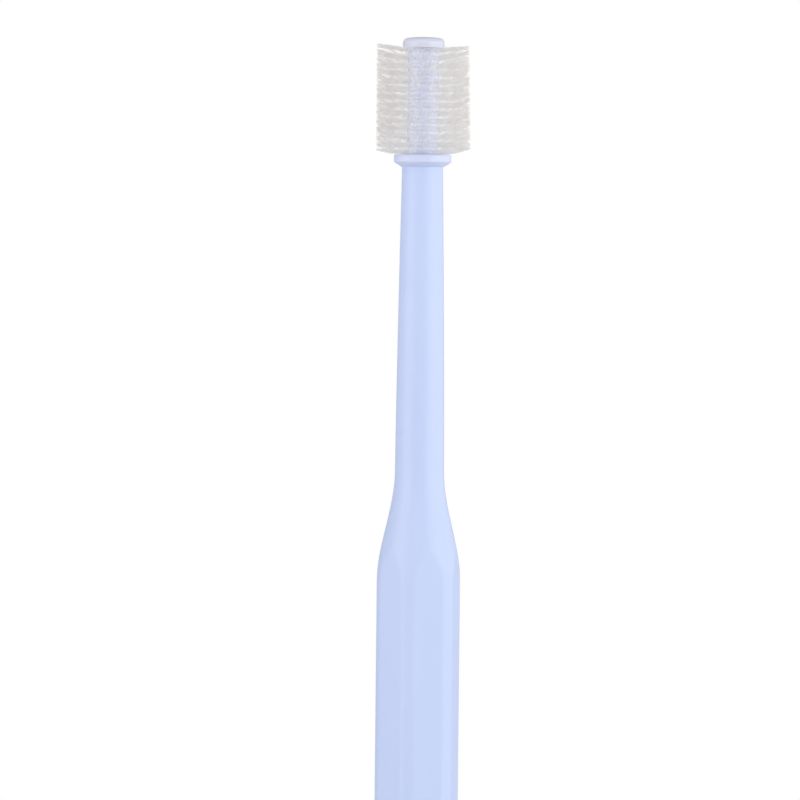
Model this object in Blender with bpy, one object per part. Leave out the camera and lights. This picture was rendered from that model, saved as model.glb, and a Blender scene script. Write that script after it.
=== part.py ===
"""Pet toothbrush with a round head whose bristles point all ways.

The handle is one moulding: a six-sided grip, a neck, a collar and a thin spindle. Fourteen bristle
discs, each a sheet of filaments welded together round its hub, are threaded on the spindle with a
spacer ring between each two. An end cap pressed on the spindle's tip holds the stack on the collar.

The brush stands along +Z on the flat end of its grip, and the middle of that end is the origin.
One corner of the six-sided grip faces -Y, so two of its flats face +X and -X. Lengths are metres.
"""

import math

import bmesh
import bpy

# Driving dimensions
OVERALL_LENGTH = 0.145
HEAD_RADIUS = 0.0071
GRIP_ACROSS_FLATS = 0.0119
GRIP_CORNER_RADIUS = 0.0022
NECK_TOP_RADIUS = 0.00311
NECK_FOOT_RADIUS = 0.00373
COLLAR_RADIUS = 0.00437
SPINDLE_RADIUS = 0.00175
DISC_COUNT = 14

# Clearance between neighbouring pieces of the head
FIT_GAP = 0.00005

# Grip and flare
GRIP_SIDES = 6
GRIP_END_RADIUS = 0.0015
GRIP_END_STEPS = 4
CORNER_STEPS = 6
FLARE_FOOT = 0.0615
FLARE_TOP = 0.0790
FLARE_FOOT_RADIUS = 0.00645
FLARE_STEPS = 14
NECK_BOW = 1.35
NECK_STEPS = 6
BLANK_OVERHANG = 0.002

# End cap and its socket for the spindle's tip
CAP_RADIUS = 0.0032
CAP_HEIGHT = 0.0017
CAP_EDGE_RADIUS = 0.00085
CAP_EDGE_STEPS = 6
CAP_FOOT = OVERALL_LENGTH - CAP_HEIGHT
SOCKET_RADIUS = SPINDLE_RADIUS + FIT_GAP
SOCKET_DEPTH = 0.0009
SPINDLE_TOP = CAP_FOOT + SOCKET_DEPTH - FIT_GAP

# Bristle discs and spacer rings
BORE_RADIUS = SPINDLE_RADIUS + FIT_GAP
BEND_RADIUS = 0.0046
HUB_THICKNESS = 0.00055
TIP_THICKNESS = 0.00080
TIP_RISE = 0.00055
SPACER_RADIUS = 0.0024
SPACER_THICKNESS = 0.00055
DISC_PITCH = HUB_THICKNESS + SPACER_THICKNESS + 2 * FIT_GAP
STACK_HEIGHT = (DISC_COUNT - 1) * DISC_PITCH + HUB_THICKNESS + 2 * FIT_GAP

# Collar at the foot of the stack
COLLAR_TOP = CAP_FOOT - STACK_HEIGHT
COLLAR_RIM = 0.0011
COLLAR_SLOPE = 0.0008
COLLAR_EDGE = 0.00015
COLLAR_FOOT = COLLAR_TOP - COLLAR_RIM - COLLAR_SLOPE

# Sides of the turned pieces
HANDLE_SIDES = 60
CAP_SIDES = 36
DISC_SIDES = 28
SPACER_SIDES = 20

WELD_DISTANCE = 1e-7
SMOOTH_ANGLE = math.radians(25)

# Colours are linear RGB
LAVENDER = (0.60, 0.69, 0.95)
CLEAR_NYLON = (0.86, 0.86, 0.84)


def clear_scene():
    """Remove whatever the scene holds."""
    for obj in list(bpy.data.objects):
        bpy.data.objects.remove(obj, do_unlink=True)


def plastic(name, colour, roughness):
    """A plain moulded or drawn plastic."""
    material = bpy.data.materials.new(name)
    material.use_nodes = True
    shader = material.node_tree.nodes["Principled BSDF"]
    shader.inputs["Base Color"].default_value = (*colour, 1.0)
    shader.inputs["Roughness"].default_value = roughness
    shader.inputs["Metallic"].default_value = 0.0
    return material


def object_from(shape, name, material=None):
    """Turn a bmesh into a named, smooth-shaded object in the scene."""
    bmesh.ops.recalc_face_normals(shape, faces=shape.faces)
    mesh = bpy.data.meshes.new(name)
    shape.to_mesh(mesh)
    shape.free()
    mesh.shade_smooth()
    mesh.set_sharp_from_angle(angle=SMOOTH_ANGLE)
    if material:
        mesh.materials.append(material)
    obj = bpy.data.objects.new(name, mesh)
    bpy.context.scene.collection.objects.link(obj)
    return obj


def turned(profile, sides, closed):
    """Spin a profile of (radius, height) points round Z. A closed one makes a ring, an open one
    that starts and ends on the axis makes a solid."""
    shape = bmesh.new()
    points = [shape.verts.new((radius, 0.0, height)) for radius, height in profile]
    followers = points[1:] + points[:1] if closed else points[1:]
    edges = [shape.edges.new(pair) for pair in zip(points, followers)]
    bmesh.ops.spin(
        shape,
        geom=points + edges,
        axis=(0, 0, 1),
        cent=(0, 0, 0),
        angle=2 * math.pi,
        steps=sides,
        use_duplicate=False,
    )
    bmesh.ops.remove_doubles(shape, verts=shape.verts, dist=WELD_DISTANCE)
    return shape


def grip_outline():
    """Points of the six-sided section with its corners rounded, one corner towards -Y."""
    half_turn_per_side = math.pi / GRIP_SIDES
    corner_distance = GRIP_ACROSS_FLATS / 2 / math.cos(half_turn_per_side)
    centre_distance = corner_distance - GRIP_CORNER_RADIUS / math.cos(half_turn_per_side)
    outline = []
    for side in range(GRIP_SIDES):
        middle = 2 * math.pi * side / GRIP_SIDES - math.pi / 2
        for step in range(CORNER_STEPS + 1):
            angle = middle + half_turn_per_side * (2 * step / CORNER_STEPS - 1)
            outline.append(
                (
                    centre_distance * math.cos(middle) + GRIP_CORNER_RADIUS * math.cos(angle),
                    centre_distance * math.sin(middle) + GRIP_CORNER_RADIUS * math.sin(angle),
                )
            )
    return outline


def grip_prism():
    """The six-sided bar that the grip's flats come from, with its lower edge rounded."""
    shape = bmesh.new()
    section = shape.faces.new([shape.verts.new((x, y, 0.0)) for x, y in grip_outline()])
    raised = bmesh.ops.extrude_face_region(shape, geom=[section])["geom"]
    bmesh.ops.translate(
        shape,
        verts=[item for item in raised if isinstance(item, bmesh.types.BMVert)],
        vec=(0, 0, OVERALL_LENGTH + BLANK_OVERHANG),
    )
    foot = [edge for edge in shape.edges if all(vert.co.z < WELD_DISTANCE for vert in edge.verts)]
    bmesh.ops.bevel(
        shape,
        geom=foot,
        offset=GRIP_END_RADIUS,
        offset_type="OFFSET",
        segments=GRIP_END_STEPS,
        profile=0.5,
        affect="EDGES",
    )
    prism = object_from(shape, "grip_prism")
    prism.hide_render = True
    prism.display_type = "WIRE"
    return prism


def eased(share):
    """0 to 1 with a level start and a level end."""
    return share * share * (3 - 2 * share)


def flare_profile():
    """The turned flare that widens the neck into the grip, from its foot to its top."""
    points = []
    for step in range(FLARE_STEPS + 1):
        share = step / FLARE_STEPS
        radius = FLARE_FOOT_RADIUS + (NECK_FOOT_RADIUS - FLARE_FOOT_RADIUS) * eased(share)
        points.append((radius, FLARE_FOOT + (FLARE_TOP - FLARE_FOOT) * share))
    return points


def neck_profile():
    """The turned neck above the flare. It thins slowly at first and faster towards the collar."""
    points = []
    for step in range(1, NECK_STEPS + 1):
        share = step / NECK_STEPS
        radius = NECK_FOOT_RADIUS + (NECK_TOP_RADIUS - NECK_FOOT_RADIUS) * share**NECK_BOW
        points.append((radius, FLARE_TOP + (COLLAR_FOOT - FLARE_TOP) * share))
    return points


def make_handle(material):
    """Grip, neck, collar and spindle in one moulding. The turned blank is wider than the six-sided
    bar along the grip, so the bar's flats run up into the flare and end in arches."""
    blank = (
        [(0.0, -BLANK_OVERHANG), (FLARE_FOOT_RADIUS, -BLANK_OVERHANG)]
        + flare_profile()
        + neck_profile()
        + [
            (COLLAR_RADIUS, COLLAR_FOOT + COLLAR_SLOPE),
            (COLLAR_RADIUS, COLLAR_TOP - COLLAR_EDGE),
            (COLLAR_RADIUS - COLLAR_EDGE, COLLAR_TOP),
            (SPINDLE_RADIUS, COLLAR_TOP),
            (SPINDLE_RADIUS, SPINDLE_TOP),
            (0.0, SPINDLE_TOP),
        ]
    )
    handle = object_from(turned(blank, HANDLE_SIDES, closed=False), "handle", material)
    flats = handle.modifiers.new("flats", "BOOLEAN")
    flats.operation = "INTERSECT"
    flats.solver = "EXACT"
    flats.object = grip_prism()
    return handle


def make_end_cap(material):
    """The round button on top, hollow below where the spindle's tip goes in."""
    profile = [
        (0.0, CAP_FOOT + SOCKET_DEPTH),
        (SOCKET_RADIUS, CAP_FOOT + SOCKET_DEPTH),
        (SOCKET_RADIUS, CAP_FOOT),
        (CAP_RADIUS, CAP_FOOT),
    ]
    for step in range(CAP_EDGE_STEPS + 1):
        angle = math.pi / 2 * step / CAP_EDGE_STEPS
        profile.append(
            (
                CAP_RADIUS - CAP_EDGE_RADIUS * (1 - math.cos(angle)),
                OVERALL_LENGTH - CAP_EDGE_RADIUS * (1 - math.sin(angle)),
            )
        )
    profile.append((0.0, OVERALL_LENGTH))
    return object_from(turned(profile, CAP_SIDES, closed=False), "end_cap", material)


def disc_profile():
    """Section of a bristle disc about its hub's mid height. The outer part thickens and rises."""
    return [
        (BORE_RADIUS, -HUB_THICKNESS / 2),
        (BEND_RADIUS, -HUB_THICKNESS / 2),
        (HEAD_RADIUS, TIP_RISE - TIP_THICKNESS / 2),
        (HEAD_RADIUS, TIP_RISE + TIP_THICKNESS / 2),
        (BEND_RADIUS, HUB_THICKNESS / 2),
        (BORE_RADIUS, HUB_THICKNESS / 2),
    ]


def ring_profile():
    """Section of a spacer ring about its mid height."""
    half = SPACER_THICKNESS / 2
    return [
        (BORE_RADIUS, -half),
        (SPACER_RADIUS, -half),
        (SPACER_RADIUS, half),
        (BORE_RADIUS, half),
    ]


def make_stack(disc_material, spacer_material):
    """Bristle discs and the spacer rings between them, numbered from the collar up."""
    first_disc = COLLAR_TOP + FIT_GAP + HUB_THICKNESS / 2
    for index in range(DISC_COUNT):
        disc = object_from(
            turned(disc_profile(), DISC_SIDES, closed=True),
            f"bristle_disc_{index + 1:02d}",
            disc_material,
        )
        disc.location.z = first_disc + index * DISC_PITCH
    for index in range(DISC_COUNT - 1):
        spacer = object_from(
            turned(ring_profile(), SPACER_SIDES, closed=True),
            f"spacer_ring_{index + 1:02d}",
            spacer_material,
        )
        spacer.location.z = first_disc + (index + 0.5) * DISC_PITCH


def main():
    clear_scene()
    lavender = plastic("lavender_plastic", LAVENDER, 0.35)
    bristle = plastic("clear_bristle", CLEAR_NYLON, 0.45)
    make_handle(lavender)
    make_end_cap(lavender)
    make_stack(bristle, lavender)


main()
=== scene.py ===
"""Looks of a slim pet toothbrush: a lavender moulded handle, a button cap, and a round head of clear
nylon filaments in fourteen sheets threaded on a spindle. Lengths are metres."""

import math
from itertools import pairwise

import bmesh
import bpy
import numpy as np
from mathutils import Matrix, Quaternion, Vector


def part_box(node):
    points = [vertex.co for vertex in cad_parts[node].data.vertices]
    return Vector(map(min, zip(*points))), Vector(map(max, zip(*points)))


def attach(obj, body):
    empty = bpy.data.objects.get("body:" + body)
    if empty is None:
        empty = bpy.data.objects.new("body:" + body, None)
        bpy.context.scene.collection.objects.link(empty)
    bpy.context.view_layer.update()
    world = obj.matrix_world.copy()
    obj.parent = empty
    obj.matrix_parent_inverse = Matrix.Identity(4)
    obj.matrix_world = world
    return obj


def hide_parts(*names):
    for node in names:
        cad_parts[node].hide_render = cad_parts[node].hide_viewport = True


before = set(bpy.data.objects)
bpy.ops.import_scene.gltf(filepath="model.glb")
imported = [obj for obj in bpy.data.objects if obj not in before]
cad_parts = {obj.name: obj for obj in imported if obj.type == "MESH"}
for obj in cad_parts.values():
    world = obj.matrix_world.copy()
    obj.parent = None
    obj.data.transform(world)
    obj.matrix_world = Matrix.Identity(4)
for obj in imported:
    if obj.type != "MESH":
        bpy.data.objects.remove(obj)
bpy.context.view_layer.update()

SEED = 14

# Bearing of the camera about +Z, from -Y towards +X
VIEW_AZIMUTH = math.radians(14.5)

# What the frame gives
HANDLE_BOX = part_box("handle")
CAP_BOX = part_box("end_cap")
FIRST_DISC_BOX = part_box("bristle_disc_01")
FIRST_SPACER_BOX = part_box("spacer_ring_01")
DISC_NAMES = sorted(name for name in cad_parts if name.startswith("bristle_disc"))
SPACER_NAMES = sorted(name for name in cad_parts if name.startswith("spacer_ring"))
TIP_HEIGHT = CAP_BOX[1][2]
CAP_FOOT = CAP_BOX[0][2]
CAP_RADIUS = CAP_BOX[1][0]
SPINDLE_TOP = HANDLE_BOX[1][2]
ACROSS_FLATS = HANDLE_BOX[1][0] - HANDLE_BOX[0][0]
SPACER_RADIUS = FIRST_SPACER_BOX[1][0]
HEAD_RADIUS = FIRST_DISC_BOX[1][0]

# Fits between the pieces of the head
FIT_GAP = 0.00005
SPINDLE_RADIUS = 0.00175
BORE_RADIUS = SPINDLE_RADIUS + FIT_GAP
COLLAR_TOP = FIRST_DISC_BOX[0][2] - FIT_GAP

# Grip: six flats with rounded corners, one corner towards -Y
SIDE_ANGLE = math.radians(60)
CORNER_RADIUS = 0.0022
CORNER_CENTRE = (ACROSS_FLATS / 2 - CORNER_RADIUS) / math.cos(SIDE_ANGLE / 2)
END_RADIUS = 0.0015
END_STEPS = 10
GRIP_RINGS = 16
# How far the flats are rounded over into the flare
FLAT_BLEND = 0.00013

# Flare, neck and collar
FLARE_FOOT = 0.0615
FLARE_TOP = 0.0790
FLARE_FOOT_RADIUS = 0.00645
FLARE_RINGS = 52
NECK_FOOT_RADIUS = 0.00373
NECK_TOP_RADIUS = 0.00311
NECK_BOW = 1.35
NECK_RINGS = 18
COLLAR_RADIUS = 0.00437
COLLAR_RIM = 0.0011
COLLAR_SLOPE = 0.0008
COLLAR_EDGE = 0.00015
COLLAR_EDGE_STEPS = 5
COLLAR_FOOT = COLLAR_TOP - COLLAR_RIM - COLLAR_SLOPE
SPINDLE_EDGE = 0.00015

# The moulding gate's stub and the dimple round it, as radius and share of the dimple's depth
GATE_RADIUS = 0.0012
GATE_DEPTH = 0.00025
GATE_PROFILE = (
    (0.00034, 0.45),
    (0.00042, 0.55),
    (0.00046, 1),
    (GATE_RADIUS - 0.0002, 1),
    (GATE_RADIUS - 0.00006, 0.7),
    (GATE_RADIUS, 0.25),
    (GATE_RADIUS + 0.00008, 0),
)
GATE_SURROUND = 1.2 * GATE_RADIUS

# The line where the two halves of the mould met
PARTING_HEIGHT = 0.000025
PARTING_START = 0.0020
PARTING_LEAST_REACH = 0.9 * NECK_TOP_RADIUS

# End cap
CAP_EDGE_RADIUS = 0.00085
CAP_EDGE_END = 84
CAP_DOME = 0.00015
CAP_DOME_SHARE = 0.94
CAP_STEPS = 10
SOCKET_CEILING = SPINDLE_TOP + FIT_GAP

# Spacer rings and hubs
RING_EDGE = 0.00003
RING_EDGE_STEPS = 4

# Sides of the turned pieces
HANDLE_SIDES = 192
CAP_SIDES = 96
RING_SIDES = 72
WELD = 1e-7
SMOOTH_ANGLE = math.radians(32)


def eased(share):
    """0 to 1 with a level start and a level end."""
    return share * share * (3 - 2 * share)


def soft_min(first, second, blend):
    """The smaller of two lengths, rounded over where they are within blend of each other."""
    near = max(blend - abs(first - second), 0) / blend
    return min(first, second) - near * near * blend / 4


def arc(centre_radius, centre_height, size, start, end, steps):
    """Points (radius, height) along a round edge, from a start to an end angle in degrees, where
    0 looks away from the axis and 90 looks up."""
    points = []
    for step in range(steps + 1):
        angle = math.radians(start + (end - start) * step / steps)
        points.append(
            (centre_radius + size * math.cos(angle), centre_height + size * math.sin(angle))
        )
    return points


def turn(name, outline, sides, bored=False):
    """Turn a piece by drawing a circle of points out ring by ring along its outline of (radius,
    height). The outline of a bored piece comes back to its start, and a solid one is faced off."""
    bpy.ops.object.select_all(action="DESELECT")
    bpy.ops.mesh.primitive_circle_add(
        vertices=sides,
        radius=outline[0][0],
        fill_type="NOTHING" if bored else "NGON",
        location=(0, 0, outline[0][1]),
    )
    piece = bpy.context.object
    piece.name = piece.data.name = name
    bpy.ops.object.mode_set(mode="EDIT")
    for (radius, height), (next_radius, next_height) in pairwise(outline):
        bpy.ops.mesh.extrude_region_move(
            TRANSFORM_OT_translate={"value": (0, 0, next_height - height)}
        )
        growth = next_radius / radius
        bpy.ops.transform.resize(
            value=(growth, growth, 1), center_override=(0, 0, next_height)
        )
    bpy.ops.mesh.select_all(action="SELECT")
    bpy.ops.mesh.remove_doubles(threshold=WELD)
    bpy.ops.mesh.normals_make_consistent(inside=False)
    bpy.ops.object.mode_set(mode="OBJECT")
    bpy.ops.object.transform_apply(location=True, rotation=False, scale=False)
    return piece


def smooth(piece):
    """Shade a piece smooth, but keep its real edges."""
    bpy.ops.object.select_all(action="DESELECT")
    piece.select_set(True)
    bpy.context.view_layer.objects.active = piece
    bpy.ops.object.shade_smooth_by_angle(angle=SMOOTH_ANGLE)


def stand_for(piece, node):
    """Put a finished piece in the place of its node."""
    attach(piece, "root")
    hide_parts(node)


# Handle


def section_reach(angle, inset):
    """How far the rounded six-sided section reaches from the axis at an angle from -Y, when it is
    drawn in by an inset all round."""
    half_side = SIDE_ANGLE / 2
    from_corner = (angle + half_side) % SIDE_ANGLE - half_side
    corner_radius = CORNER_RADIUS - inset
    corner_end = math.atan2(
        corner_radius * math.sin(half_side),
        CORNER_CENTRE + corner_radius * math.cos(half_side),
    )
    if abs(from_corner) < corner_end:
        across = CORNER_CENTRE * math.sin(from_corner)
        along = CORNER_CENTRE * math.cos(from_corner)
        return along + math.sqrt(corner_radius**2 - across**2)
    return (ACROSS_FLATS / 2 - inset) / math.cos(half_side - abs(from_corner))


def grip_outline():
    """The turned blank of the grip, from the moulding gate's dimple up to the flare's foot."""
    points = [(radius, share * GATE_DEPTH) for radius, share in GATE_PROFILE]
    for step in range(END_STEPS + 1):
        turned = math.pi / 2 * step / END_STEPS
        points.append((FLARE_FOOT_RADIUS, END_RADIUS * (1 - math.cos(turned))))
    for ring in range(1, GRIP_RINGS):
        points.append(
            (FLARE_FOOT_RADIUS, END_RADIUS + (FLARE_FOOT - END_RADIUS) * ring / GRIP_RINGS)
        )
    return points


def flare_outline():
    """The turned flare from its foot to its top."""
    points = []
    for ring in range(FLARE_RINGS + 1):
        share = ring / FLARE_RINGS
        radius = FLARE_FOOT_RADIUS + (NECK_FOOT_RADIUS - FLARE_FOOT_RADIUS) * eased(share)
        points.append((radius, FLARE_FOOT + (FLARE_TOP - FLARE_FOOT) * share))
    return points


def neck_outline():
    """The neck above the flare. It thins slowly at first and faster towards the collar."""
    points = []
    for ring in range(1, NECK_RINGS + 1):
        share = ring / NECK_RINGS
        radius = NECK_FOOT_RADIUS + (NECK_TOP_RADIUS - NECK_FOOT_RADIUS) * share**NECK_BOW
        points.append((radius, FLARE_TOP + (COLLAR_FOOT - FLARE_TOP) * share))
    return points


def collar_outline():
    """The collar under the head with its eased edges, and the spindle that runs up inside."""
    slope = math.degrees(math.atan2(COLLAR_SLOPE, COLLAR_RADIUS - NECK_TOP_RADIUS))
    rim = COLLAR_RADIUS - COLLAR_EDGE
    foot = COLLAR_FOOT + COLLAR_SLOPE + COLLAR_EDGE / 2
    return (
        arc(rim, foot, COLLAR_EDGE, slope - 90, 0, COLLAR_EDGE_STEPS)
        + arc(rim, COLLAR_TOP - COLLAR_EDGE, COLLAR_EDGE, 0, 90, COLLAR_EDGE_STEPS)
        + [
            (SPINDLE_RADIUS, COLLAR_TOP),
            (SPINDLE_RADIUS, SPINDLE_TOP - SPINDLE_EDGE),
            (SPINDLE_RADIUS - SPINDLE_EDGE, SPINDLE_TOP),
        ]
    )


def press_flats(piece):
    """Press the six flats into the turned grip, so that they run out in arches on the flare."""
    shape = bmesh.new()
    shape.from_mesh(piece.data)
    for vert in shape.verts:
        radius = vert.co.xy.length
        if vert.co.z > FLARE_TOP or radius < GATE_SURROUND:
            continue
        below_edge = min(max(END_RADIUS - vert.co.z, 0), END_RADIUS)
        inset = END_RADIUS - math.sqrt(END_RADIUS**2 - below_edge**2)
        angle = math.atan2(vert.co.x, -vert.co.y)
        reach = soft_min(radius, section_reach(angle, inset), FLAT_BLEND)
        vert.co.xy *= reach / radius
    shape.to_mesh(piece.data)
    shape.free()


def raise_parting_line(piece):
    """Raise the fine line where the two halves of the mould met, on the +X and -X sides."""
    shape = bmesh.new()
    shape.from_mesh(piece.data)
    for vert in shape.verts:
        between_ends = PARTING_START < vert.co.z < COLLAR_TOP - COLLAR_EDGE
        on_line = abs(vert.co.y) < WELD * 10 and abs(vert.co.x) > PARTING_LEAST_REACH
        if between_ends and on_line:
            vert.co.x += math.copysign(PARTING_HEIGHT, vert.co.x)
    shape.to_mesh(piece.data)
    shape.free()


def make_handle(material):
    outline = grip_outline() + flare_outline() + neck_outline() + collar_outline()
    piece = turn("moulded_handle", outline, HANDLE_SIDES)
    press_flats(piece)
    raise_parting_line(piece)
    smooth(piece)
    piece.data.materials.append(material)
    stand_for(piece, "handle")


# End cap


def cap_outline():
    """The cap from its socket's ceiling, down the socket, out round the foot and over the dome."""
    edge = CAP_RADIUS - CAP_EDGE_RADIUS
    shoulder = TIP_HEIGHT - CAP_DOME
    points = [
        (BORE_RADIUS, SOCKET_CEILING),
        (BORE_RADIUS, CAP_FOOT + FIT_GAP),
        (BORE_RADIUS + FIT_GAP, CAP_FOOT),
        (CAP_RADIUS - 2 * FIT_GAP, CAP_FOOT),
        (CAP_RADIUS, CAP_FOOT + 2 * FIT_GAP),
    ]
    points += arc(edge, shoulder - CAP_EDGE_RADIUS, CAP_EDGE_RADIUS, 0, CAP_EDGE_END, CAP_STEPS)
    start_radius, start_height = points[-1]
    for step in range(1, CAP_STEPS + 1):
        radius = start_radius * (1 - CAP_DOME_SHARE * step / CAP_STEPS)
        rise = (TIP_HEIGHT - start_height) * (1 - (radius / start_radius) ** 2)
        points.append((radius, start_height + rise))
    return points


def make_cap(material):
    piece = turn("domed_cap", cap_outline(), CAP_SIDES)
    smooth(piece)
    piece.data.materials.append(material)
    stand_for(piece, "end_cap")


# Spacer rings


def ring_outline(inner, outer, low, high, edge):
    """A bored ring with rounded outer edges, as an outline that comes back to its start."""
    return (
        [(inner, low)]
        + arc(outer - edge, low + edge, edge, -90, 0, RING_EDGE_STEPS)
        + arc(outer - edge, high - edge, edge, 0, 90, RING_EDGE_STEPS)
        + [(inner, high), (inner, low)]
    )


def make_spacers(material):
    for name in SPACER_NAMES:
        low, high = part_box(name)
        outline = ring_outline(BORE_RADIUS, SPACER_RADIUS, low[2], high[2], RING_EDGE)
        piece = turn(name.replace("spacer_ring", "turned_spacer"), outline, RING_SIDES, bored=True)
        smooth(piece)
        piece.data.materials.append(material)
        stand_for(piece, name)


# Bristle discs

# A filament: stations along it from root to tip, its width and material zone there
FILAMENTS = 1300
FILAMENT_RADIUS = 0.000040
FILAMENT_SIDES = 4
STATIONS = np.array([0.0, 0.28, 0.50, 0.70, 0.88, 1.0])
STATION_WIDTHS = np.array([1.0, 1.0, 1.0, 1.0, 0.95, 0.7])
STATION_ZONES = np.array([0, 0, 1, 1, 2])
BATCHES = 3

# The hub that holds the roots, and its middle above a disc's lowest point
HUB_THICKNESS = 0.00062
HUB_MIDDLE = 0.000275
ROOT_RADIUS = 0.0021
ROOT_SPREAD = 0.00033

# From FRAY_RADIUS out, neat filaments part late into tufts and strays leave the sheet early. The
# height of a tip is part its tuft's own and part the filament's own.
FRAY_RADIUS = 0.0022
TUFTS = 110
TUFT_OVERLAP = 0.22
TUFT_PULL = 0.70
TURN_SPREAD = 0.030
NEAT_POWER = 2.6
NEAT_SPREAD = 0.00095
NEAT_WITH_TUFT, NEAT_ALONE = 0.85, 0.25
STRAY_SHARE = 0.38
STRAY_POWER = 0.38
STRAY_WITH_TUFT, STRAY_ALONE = 0.4, 0.95

# Rise of the tips, radius they reach and shift to the camera's right, at the lowest and the
# highest sheet
LOW_RISE, HIGH_RISE = 0.00036, 0.00074
LOW_REACH, HIGH_REACH = 0.00718, 0.00704
LOW_SHIFT, HIGH_SHIFT = 0.00007, -0.00010
REACH_LIMIT = HEAD_RADIUS * 1.025
REACH_SPREAD = 0.00005

# Unevenness of a sheet round the head. The lowest sheets are looser by LOOSE_FOOT, which fades
# to nothing over a share 1 / LOOSE_FADE of the head.
RISE_WAVE = 0.00011
WAVE_TURNS = (1, 9)
WAVES = 4
LOOSE_FOOT = 1.2
LOOSE_FADE = 5

# How a sheet's tips lie about its hub: mean rise (None is the one for its level), how far down
# and up tips stray, lean to the camera's right, radius from which the sheet turns up and how
# sharply, and how much less it rises in front and behind. "loose" scales its unevenness. A sheet
# lies like SHEET where SHEETS doesn't say otherwise.
SHEET = {"rise": None, "down": 0.0012, "up": 0.0012, "lean": 0, "bend": 0.0043, "turn": 2, "sag": 0}
SHEETS = {
    0: {
        "rise": 0.00062,
        "down": 0.00010,
        "up": 0.0008,
        "lean": 0.00020,
        "bend": 0.0040,
        "turn": 1.3,
        "loose": 0.5,
    },
    1: {"down": 0.0008},
    12: {"rise": 0.00077, "up": 0.0005, "bend": 0.0034, "turn": 1.4},
    13: {
        "rise": 0.00072,
        "down": 0.00036,
        "up": 0.00006,
        "lean": -0.00013,
        "bend": 0.0024,
        "turn": 1.1,
        "sag": 0.8,
        "loose": 0.3,
    },
}


def wavy(angles, draw):
    """A smooth wavy line round the head, between about -1 and 1, that ends where it starts."""
    fewest, most = WAVE_TURNS
    total = np.zeros_like(angles)
    for _ in range(WAVES):
        turns = draw.integers(fewest, most + 1)
        total += np.sin(turns * angles + draw.uniform(0, 2 * math.pi))
    return total / math.sqrt(WAVES)


def filament_paths(index, draw):
    """Middle points of each filament of a disc, as an array of filaments, stations and X, Y, Z
    about the disc's hub. They leave the hub as a neat sheet, fray into tufts and bend up."""
    level = index / (len(DISC_NAMES) - 1)
    lie = SHEET | SHEETS.get(index, {})
    mean_rise = lie["rise"] or LOW_RISE + (HIGH_RISE - LOW_RISE) * level
    loose = lie.get("loose", 1 + LOOSE_FOOT * max(0, 1 - LOOSE_FADE * level))
    spaced = (np.arange(FILAMENTS) + draw.uniform(-0.5, 0.5, FILAMENTS)) / FILAMENTS
    angles = 2 * math.pi * spaced
    tuft = np.floor(TUFTS * spaced + TUFT_OVERLAP * draw.normal(size=FILAMENTS))
    tuft = tuft.astype(int) % TUFTS
    tuft_angles = 2 * math.pi * (tuft + 0.5) / TUFTS
    from_tuft = (angles - tuft_angles + math.pi) % (2 * math.pi) - math.pi

    stray = draw.random(FILAMENTS) < STRAY_SHARE
    neat_tips = NEAT_SPREAD * (
        NEAT_WITH_TUFT * draw.uniform(-1, 1, TUFTS)[tuft]
        + NEAT_ALONE * draw.uniform(-1, 1, FILAMENTS)
    )
    stray_tips = (
        STRAY_WITH_TUFT * draw.uniform(-1, 1, TUFTS)[tuft]
        + STRAY_ALONE * draw.uniform(-1, 1, FILAMENTS)
    )
    stray_tips *= np.where(stray_tips < 0, lie["down"], lie["up"])
    tips = np.where(stray, stray_tips, neat_tips)
    tips = np.clip(tips, -lie["down"], lie["up"])
    rightward = np.cos(angles - VIEW_AZIMUTH)
    rises = mean_rise * (1 - lie["sag"] * (1 - rightward**2)) + lie["lean"] * rightward
    rises += RISE_WAVE * loose * wavy(angles, draw)
    turns = (
        TURN_SPREAD * draw.normal(size=TUFTS)[tuft]
        + TURN_SPREAD * draw.normal(size=FILAMENTS)
        - TUFT_PULL * from_tuft
    )
    reach = LOW_REACH + (HIGH_REACH - LOW_REACH) * level
    shift = LOW_SHIFT + (HIGH_SHIFT - LOW_SHIFT) * level
    reaches = reach + shift * rightward + REACH_SPREAD * loose * draw.normal(size=FILAMENTS)
    reaches = np.minimum(reaches, REACH_LIMIT)
    roots = ROOT_SPREAD * draw.uniform(-1, 1, FILAMENTS)

    out = ROOT_RADIUS + STATIONS * (reaches[:, None] - ROOT_RADIUS)
    bend = np.clip((out - lie["bend"]) / (reaches[:, None] - lie["bend"]), 0, 1) ** lie["turn"]
    fray = np.clip((out - FRAY_RADIUS) / (reaches[:, None] - FRAY_RADIUS), 0, 1)
    fray **= np.where(stray, STRAY_POWER, NEAT_POWER)[:, None]
    aside = np.tan(turns)[:, None] * (out - ROOT_RADIUS)
    along = np.sqrt(out**2 - aside**2)
    up = roots[:, None] * (1 - fray) + tips[:, None] * fray + rises[:, None] * bend
    cosine, sine = np.cos(angles)[:, None], np.sin(angles)[:, None]
    return np.stack([along * cosine - aside * sine, along * sine + aside * cosine, up], axis=2)


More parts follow.
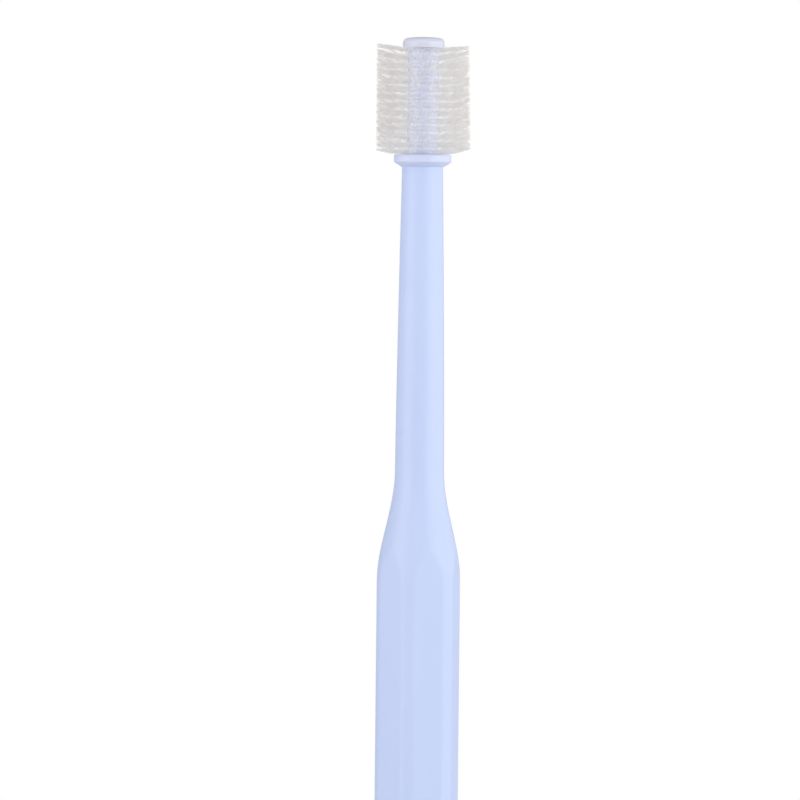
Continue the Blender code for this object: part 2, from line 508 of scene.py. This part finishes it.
def filament_mesh(name, paths, batches, materials):
    """One mesh of thin four-sided tubes along the paths, thinner at the tip, closed at both ends."""
    count, stations = paths.shape[:2]
    ahead = np.gradient(paths, axis=1)
    ahead /= np.linalg.norm(ahead, axis=2, keepdims=True)
    sideways = np.cross(ahead, (0.0, 0.0, 1.0))
    sideways /= np.linalg.norm(sideways, axis=2, keepdims=True)
    upright = np.cross(sideways, ahead)
    turned = 2 * math.pi * (np.arange(FILAMENT_SIDES) + 0.5) / FILAMENT_SIDES
    around = (
        np.cos(turned)[:, None] * sideways[:, :, None, :]
        + np.sin(turned)[:, None] * upright[:, :, None, :]
    )
    widths = FILAMENT_RADIUS * STATION_WIDTHS[None, :, None, None]
    points = (paths[:, :, None, :] + widths * around).reshape(-1, 3)

    ring = np.arange(FILAMENT_SIDES)
    after = np.roll(ring, -1)
    first = np.arange(count)[:, None, None] * stations * FILAMENT_SIDES
    lower = first + np.arange(stations - 1)[None, :, None] * FILAMENT_SIDES
    walls = np.stack(
        [lower + ring, lower + after, lower + FILAMENT_SIDES + after, lower + FILAMENT_SIDES + ring],
        axis=3,
    ).reshape(-1, 4)
    roots = first[:, :, 0] + ring[::-1]
    tips = first[:, :, 0] + (stations - 1) * FILAMENT_SIDES + ring
    faces = np.concatenate([walls, roots, tips])
    mesh = bpy.data.meshes.new(name)
    mesh.from_pydata(points.tolist(), [], faces.tolist())
    for material in materials:
        mesh.materials.append(material)
    per_zone = batches[:, None] + BATCHES * STATION_ZONES[None, :]
    per_wall = np.repeat(per_zone, FILAMENT_SIDES, axis=1).ravel()
    mesh.polygons.foreach_set("material_index", np.concatenate([per_wall, batches, batches]))
    mesh.shade_smooth()
    return mesh


def make_discs(filament_materials, hub_material):
    """A sheet of filaments and the hub that they are fused to, for each disc."""
    for index, name in enumerate(DISC_NAMES):
        draw = np.random.default_rng(SEED + index)
        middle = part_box(name)[0][2] + HUB_MIDDLE
        paths = filament_paths(index, draw) + (0, 0, middle)
        batches = draw.integers(0, BATCHES, FILAMENTS)
        sheet_name = name.replace("bristle_disc", "filament_sheet")
        mesh = filament_mesh(sheet_name, paths, batches, filament_materials)
        sheet = bpy.data.objects.new(sheet_name, mesh)
        bpy.context.scene.collection.objects.link(sheet)
        stand_for(sheet, name)
        half = HUB_THICKNESS / 2
        outline = ring_outline(BORE_RADIUS, SPACER_RADIUS, middle - half, middle + half, RING_EDGE)
        hub = turn(name.replace("bristle_disc", "fused_hub"), outline, RING_SIDES, bored=True)
        smooth(hub)
        hub.data.materials.append(hub_material)
        stand_for(hub, name)


# Materials

# Two close colours that the flow streaks mix, and the least and greatest roughness
LAVENDER = ((0.500, 0.583, 0.835), (0.513, 0.594, 0.842))
# Paler lavender for the collar: painted light, which lifts the collar out of the shade that the
# bristles above cast on it
COLLAR_PAINTED_LIGHT = (0.590, 0.640, 0.840)
CAP_LAVENDER = ((0.645, 0.666, 0.790), (0.653, 0.674, 0.796))
# The core's and the hubs' colours are much paler than the handle's lavender: painted light, which
# makes up for the shade that the filaments cast on the core
CORE_LAVENDER_PAINTED_LIGHT = ((0.735, 0.782, 0.955), (0.741, 0.787, 0.958))
FUSED_NYLON_PAINTED_LIGHT = ((0.742, 0.788, 0.955), (0.748, 0.793, 0.958))
HANDLE_ROUGHNESS = (0.38, 0.47)
HEAD_ROUGHNESS = (0.30, 0.40)

# Sizes of the noise patterns, per metre, and the depth of the mould's grain
STREAK_SCALE = 260
STREAK_STRETCH = (1, 1, 0.12)
GLOSS_SCALE = 900
GRAIN_SCALE = 5200
GRAIN_STRENGTH = 0.12
GRAIN_DEPTH = 0.00002
NOISE_LOW, NOISE_HIGH = 0.3, 0.7

# Half the height over which the neck's colour goes over into the collar's paler colour, which is
# painted light
PAINTED_LIGHT_BLEND = 0.0004

# Nylon of the filaments: three shades, and opacity and tint from root to tip
FILAMENT_ROUGHNESS = 0.32
NYLON_SHADES = {
    "clear": (0.942, 0.935, 0.932),
    "warm": (0.935, 0.914, 0.904),
    "bright": (0.975, 0.971, 0.969),
}
NYLON_ZONES = {
    "root": (0.034, (1, 1, 1)),
    "middle": (0.071, (1, 0.996, 0.992)),
    "tip": (0.17, (1, 0.982, 0.972)),
}


def plain_principled(name, colour, roughness):
    material = bpy.data.materials.new(name)
    material.use_nodes = True
    shader = material.node_tree.nodes["Principled BSDF"]
    shader.inputs["Base Color"].default_value = (*colour, 1)
    shader.inputs["Roughness"].default_value = roughness
    return material, shader


def noise(nodes, links, scale, detail, stretch=(1, 1, 1)):
    """A noise pattern on object coordinates, stretched along the brush where asked."""
    coordinates = nodes.new("ShaderNodeTexCoord")
    mapping = nodes.new("ShaderNodeMapping")
    mapping.inputs["Scale"].default_value = stretch
    texture = nodes.new("ShaderNodeTexNoise")
    texture.inputs["Scale"].default_value = scale
    texture.inputs["Detail"].default_value = detail
    links.new(coordinates.outputs["Object"], mapping.inputs["Vector"])
    links.new(mapping.outputs["Vector"], texture.inputs["Vector"])
    return texture.outputs["Fac"]


def ranged(nodes, links, source, low, high):
    """Spread a 0 to 1 pattern between two values."""
    spread = nodes.new("ShaderNodeMapRange")
    spread.inputs["From Min"].default_value = NOISE_LOW
    spread.inputs["From Max"].default_value = NOISE_HIGH
    spread.inputs["To Min"].default_value = low
    spread.inputs["To Max"].default_value = high
    links.new(source, spread.inputs["Value"])
    return spread.outputs["Result"]


def painted_light_above(nodes, links, colour, height, lit_colour):
    """Let a colour go over into a paler one above a height on the brush: painted light on the
    collar, which lightens it against the shade that the bristles cast there.
    """
    coordinates = nodes.new("ShaderNodeTexCoord")
    apart = nodes.new("ShaderNodeSeparateXYZ")
    links.new(coordinates.outputs["Object"], apart.inputs["Vector"])
    step = nodes.new("ShaderNodeMapRange")
    step.interpolation_type = "SMOOTHSTEP"
    step.inputs["From Min"].default_value = height - PAINTED_LIGHT_BLEND
    step.inputs["From Max"].default_value = height + PAINTED_LIGHT_BLEND
    links.new(apart.outputs["Z"], step.inputs["Value"])
    mix = nodes.new("ShaderNodeMix")
    mix.data_type = "RGBA"
    links.new(step.outputs["Result"], mix.inputs["Factor"])
    links.new(colour, mix.inputs["A"])
    mix.inputs["B"].default_value = (*lit_colour, 1)
    return mix.outputs["Result"]


def moulded_plastic(name, shades, roughness, collar=None):
    """Satin moulded plastic: faint flow streaks along the brush in the colour, a slightly uneven
    gloss and the fine grain of the mould's skin. A paler colour takes over up on the collar: painted
    light against the shade that the bristles cast there."""
    shade, tint = shades
    material, shader = plain_principled(name, shade, roughness[0])
    nodes, links = material.node_tree.nodes, material.node_tree.links
    streaks = noise(nodes, links, STREAK_SCALE, 3, stretch=STREAK_STRETCH)
    mix = nodes.new("ShaderNodeMix")
    mix.data_type = "RGBA"
    mix.inputs["A"].default_value = (*shade, 1)
    mix.inputs["B"].default_value = (*tint, 1)
    links.new(ranged(nodes, links, streaks, 0, 1), mix.inputs["Factor"])
    colour = mix.outputs["Result"]
    # Painted light: the collar is made paler against the shade under the bristles
    if collar:
        colour = painted_light_above(nodes, links, colour, COLLAR_FOOT + COLLAR_SLOPE / 2, collar)
    links.new(colour, shader.inputs["Base Color"])
    gloss = noise(nodes, links, GLOSS_SCALE, 2)
    links.new(ranged(nodes, links, gloss, *roughness), shader.inputs["Roughness"])
    grain = noise(nodes, links, GRAIN_SCALE, 2)
    bump = nodes.new("ShaderNodeBump")
    bump.inputs["Strength"].default_value = GRAIN_STRENGTH
    bump.inputs["Distance"].default_value = GRAIN_DEPTH
    links.new(grain, bump.inputs["Height"])
    links.new(bump.outputs["Normal"], shader.inputs["Normal"])
    shader.inputs["Specular IOR Level"].default_value = 0.5
    return material


def clear_nylon():
    """See-through nylon in every shade and zone, zone by zone. The values are constant, because a
    filament is too thin for a pattern."""
    materials = []
    for zone, (opacity, tint) in NYLON_ZONES.items():
        for shade, colour in NYLON_SHADES.items():
            material, shader = plain_principled(
                f"{shade}_filament_{zone}", np.multiply(colour, tint), FILAMENT_ROUGHNESS
            )
            shader.inputs["Alpha"].default_value = opacity
            materials.append(material)
    return materials


# Stage, light and camera

VIEW_ROLL = math.radians(0.58)
VIEW_WIDTH = 0.1218
VIEW_DISTANCE = 2.0
AIM_BELOW_TIP = 0.0553
AIM_ASIDE = 0.00308
SENSOR = 36
CLIP_NEAR, CLIP_FAR = 0.05, 20
FLOOR_RADIUS = 0.85
FLOOR_DROP = 0.00005
SURROUND_LIGHT = 0.45

# Softboxes: bearing from the camera's own in degrees, height above the middle of the brush,
# width, height of the panel, watts and colour
SOFTBOX_DISTANCE = 0.6
SOFTBOXES = {
    "right_softbox": (60, 0.05, 0.52, 0.60, 2.8, (0.98, 1, 0.995)),
    "right_rim_softbox": (112, 0.05, 0.40, 0.60, 0.9, (1, 1, 1)),
    "front_softbox": (-8, 0.6, 0.40, 0.40, 1.05, (1, 1, 1)),
    "left_softbox": (-63, 0.05, 0.52, 0.60, 2.4, (1, 1, 1)),
}


def view_axes():
    """Directions to the right of the picture and back towards the camera."""
    right = Vector((math.cos(VIEW_AZIMUTH), math.sin(VIEW_AZIMUTH), 0))
    back = Vector((math.sin(VIEW_AZIMUTH), -math.cos(VIEW_AZIMUTH), 0))
    return right, back


def make_floor():
    bpy.ops.object.select_all(action="DESELECT")
    bpy.ops.mesh.primitive_circle_add(
        vertices=96, radius=FLOOR_RADIUS, fill_type="NGON", location=(0, 0, -FLOOR_DROP)
    )
    floor = bpy.context.object
    floor.name = "pale_floor"
    material, shader = plain_principled("pale_floor", (0.93, 0.93, 0.93), 0.7)
    shader.inputs["Specular IOR Level"].default_value = 0.2
    floor.data.materials.append(material)


def make_world():
    """A white surround to look at, which lights the brush less than it shows."""
    world = bpy.data.worlds.new("white_surround")
    bpy.context.scene.world = world
    world.use_nodes = True
    nodes, links = world.node_tree.nodes, world.node_tree.links
    shown = nodes["Background"]
    shown.inputs["Color"].default_value = (1, 1, 1, 1)
    shown.inputs["Strength"].default_value = 1.0
    lighting = nodes.new("ShaderNodeBackground")
    lighting.inputs["Color"].default_value = (1, 1, 1, 1)
    lighting.inputs["Strength"].default_value = SURROUND_LIGHT
    path = nodes.new("ShaderNodeLightPath")
    mix = nodes.new("ShaderNodeMixShader")
    links.new(path.outputs["Is Camera Ray"], mix.inputs["Fac"])
    links.new(lighting.outputs["Background"], mix.inputs[1])
    links.new(shown.outputs["Background"], mix.inputs[2])
    links.new(mix.outputs["Shader"], nodes["World Output"].inputs["Surface"])


def make_softbox(name, bearing, height, width, tall, power, colour):
    """A softbox at a bearing from the camera's own, aimed at the middle of the brush."""
    angle = VIEW_AZIMUTH + math.radians(bearing)
    aim = Vector((0, 0, TIP_HEIGHT / 2))
    towards = Vector((math.sin(angle), -math.cos(angle), 0))
    data = bpy.data.lights.new(name, "AREA")
    data.shape = "RECTANGLE"
    data.size, data.size_y = width, tall
    data.energy, data.color = power, colour
    light = bpy.data.objects.new(name, data)
    light.visible_camera = False
    light.location = aim + towards * SOFTBOX_DISTANCE + Vector((0, 0, height))
    light.rotation_mode = "QUATERNION"
    light.rotation_quaternion = (light.location - aim).to_track_quat("Z", "Y")
    bpy.context.scene.collection.objects.link(light)


def make_camera():
    right, back = view_axes()
    target = Vector((0, 0, TIP_HEIGHT - AIM_BELOW_TIP)) - right * AIM_ASIDE
    data = bpy.data.cameras.new("camera")
    data.sensor_width = SENSOR
    data.lens = SENSOR * VIEW_DISTANCE / VIEW_WIDTH
    data.clip_start, data.clip_end = CLIP_NEAR, CLIP_FAR
    camera = bpy.data.objects.new("camera", data)
    camera.location = target + back * VIEW_DISTANCE
    camera.rotation_mode = "QUATERNION"
    camera.rotation_quaternion = back.to_track_quat("Z", "Y") @ Quaternion((0, 0, 1), VIEW_ROLL)
    bpy.context.scene.collection.objects.link(camera)
    bpy.context.scene.camera = camera


def main():
    lavender = moulded_plastic("satin_lavender", LAVENDER, HANDLE_ROUGHNESS, collar=COLLAR_PAINTED_LIGHT)
    cap_lavender = moulded_plastic("satin_cap", CAP_LAVENDER, HEAD_ROUGHNESS)
    # Painted light: the core and the hubs are coloured paler against the shade of the filaments
    # round them
    core_lavender_painted_light = moulded_plastic("satin_core_painted_light", CORE_LAVENDER_PAINTED_LIGHT, HEAD_ROUGHNESS)
    fused_nylon_painted_light = moulded_plastic("fused_nylon_painted_light", FUSED_NYLON_PAINTED_LIGHT, HEAD_ROUGHNESS)
    make_handle(lavender)
    make_cap(cap_lavender)
    make_spacers(core_lavender_painted_light)
    make_discs(clear_nylon(), fused_nylon_painted_light)
    make_floor()
    make_world()
    for name, settings in SOFTBOXES.items():
        make_softbox(name, *settings)
    make_camera()
    scene = bpy.context.scene
    scene.view_settings.view_transform = "Standard"
    scene.cycles.transparent_max_bounces = 160
    scene.cycles.max_bounces = 20
    scene.cycles.diffuse_bounces = 16


main()
